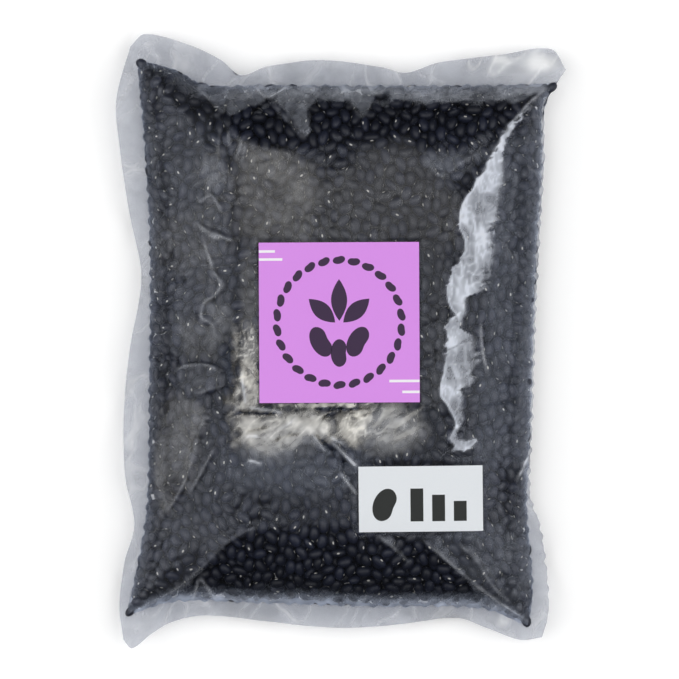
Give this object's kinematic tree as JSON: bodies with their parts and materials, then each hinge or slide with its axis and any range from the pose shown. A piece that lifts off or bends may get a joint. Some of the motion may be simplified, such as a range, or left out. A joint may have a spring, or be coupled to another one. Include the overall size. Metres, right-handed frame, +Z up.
{
  "type": "bag of dried beans",
  "caption": "Clear film pillow bag filled with dried black beans, lying flat, with a square lilac label and a small white label on its front.",
  "frame": {"origin": "under the middle of the whole bag, on the surface that it lies on", "axes": "+Z up out of the front film, +Y along the length to the bag's top seal, +X to the right as the labels are seen"},
  "size_m": [0.2836, 0.3868, 0.0464],
  "materials": {
    "clear_film": "clear glossy film, milky where it lifts off the beans",
    "bean_skin": "satin black bean skin",
    "bean_eye": "matt white scar on a bean",
    "lilac_paper": "satin coated paper",
    "white_paper": "satin coated paper",
    "dark_ink": "flat dark print"
  },
  "bodies": {
    "root": {"bag": "clear_film", "main_label": "lilac_paper", "weight_label": "white_paper"}
  },
  "joints": []
}
